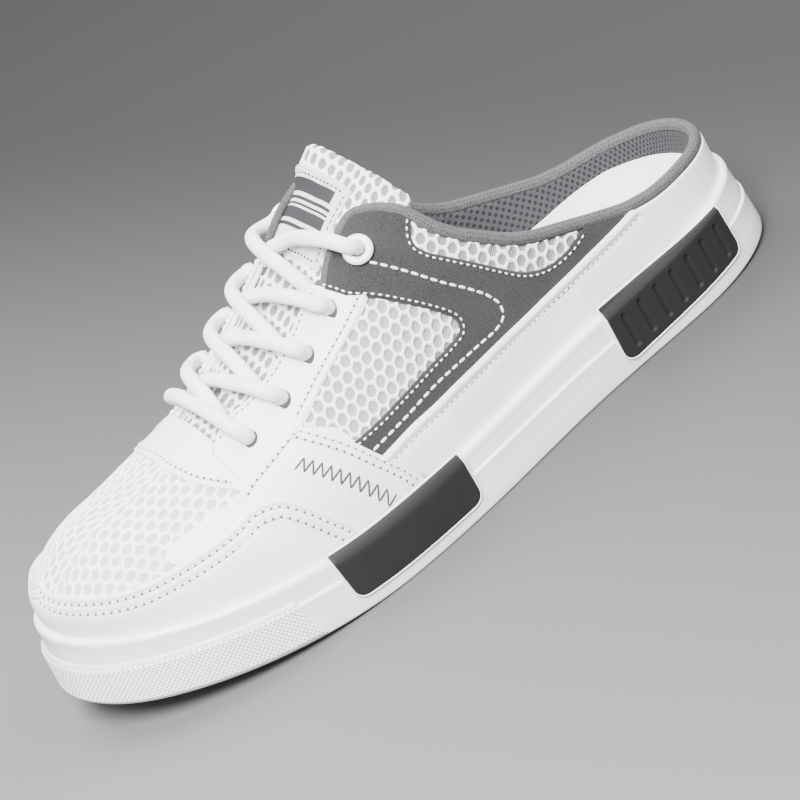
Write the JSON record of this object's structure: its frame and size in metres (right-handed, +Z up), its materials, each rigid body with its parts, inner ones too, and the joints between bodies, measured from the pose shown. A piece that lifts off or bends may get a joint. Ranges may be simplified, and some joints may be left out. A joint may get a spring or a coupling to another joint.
{
  "type": "sneaker mule",
  "caption": "Low backless sneaker mule for a left foot: cup sole, open collar, mesh vamp and side, laced eyestays with a ring eyelet, padded tongue and dark side blocks.",
  "frame": {"origin": "centre of the bounding box at its bottom, on the floor", "axes": "+X to the toe, +Y to the outer side of the foot, +Z up"},
  "size_m": [0.2907, 0.1042, 0.1062],
  "materials": {
    "outsole": "glossy",
    "upper": "matt",
    "insole": "matt",
    "tongue": "matt",
    "block_fore_inner": "matt",
    "block_fore_outer": "matt",
    "block_heel_inner": "matt",
    "block_heel_outer": "matt",
    "collar_binding": "matt",
    "eyelet_ring_inner": "glossy",
    "eyelet_ring_outer": "glossy",
    "eyestay_inner": "satin",
    "eyestay_outer": "satin",
    "forefoot_strap_inner": "satin",
    "forefoot_strap_outer": "satin",
    "heel_quarter": "satin",
    "lace_bar": "matt",
    "lace_cross_1": "matt",
    "lace_cross_2": "matt",
    "lace_cross_3": "matt",
    "lace_cross_4": "matt",
    "side_panel_inner": "matt",
    "side_panel_outer": "matt",
    "throat_band": "satin",
    "toe_bumper": "satin",
    "toe_guard": "satin",
    "tongue_label": "matt"
  },
  "bodies": {
    "root": {"outsole": "outsole", "upper": "upper", "insole": "insole", "tongue": "tongue", "block_fore_inner": "block_fore_inner", "block_fore_outer": "block_fore_outer", "block_heel_inner": "block_heel_inner", "block_heel_outer": "block_heel_outer", "collar_binding": "collar_binding", "eyelet_ring_inner": "eyelet_ring_inner", "eyelet_ring_outer": "eyelet_ring_outer", "eyestay_inner": "eyestay_inner", "eyestay_outer": "eyestay_outer", "forefoot_strap_inner": "forefoot_strap_inner", "forefoot_strap_outer": "forefoot_strap_outer", "heel_quarter": "heel_quarter", "lace_bar": "lace_bar", "lace_cross_1": "lace_cross_1", "lace_cross_2": "lace_cross_2", "lace_cross_3": "lace_cross_3", "lace_cross_4": "lace_cross_4", "side_panel_inner": "side_panel_inner", "side_panel_outer": "side_panel_outer", "throat_band": "throat_band", "toe_bumper": "toe_bumper", "toe_guard": "toe_guard", "tongue_label": "tongue_label"}
  },
  "joints": []
}
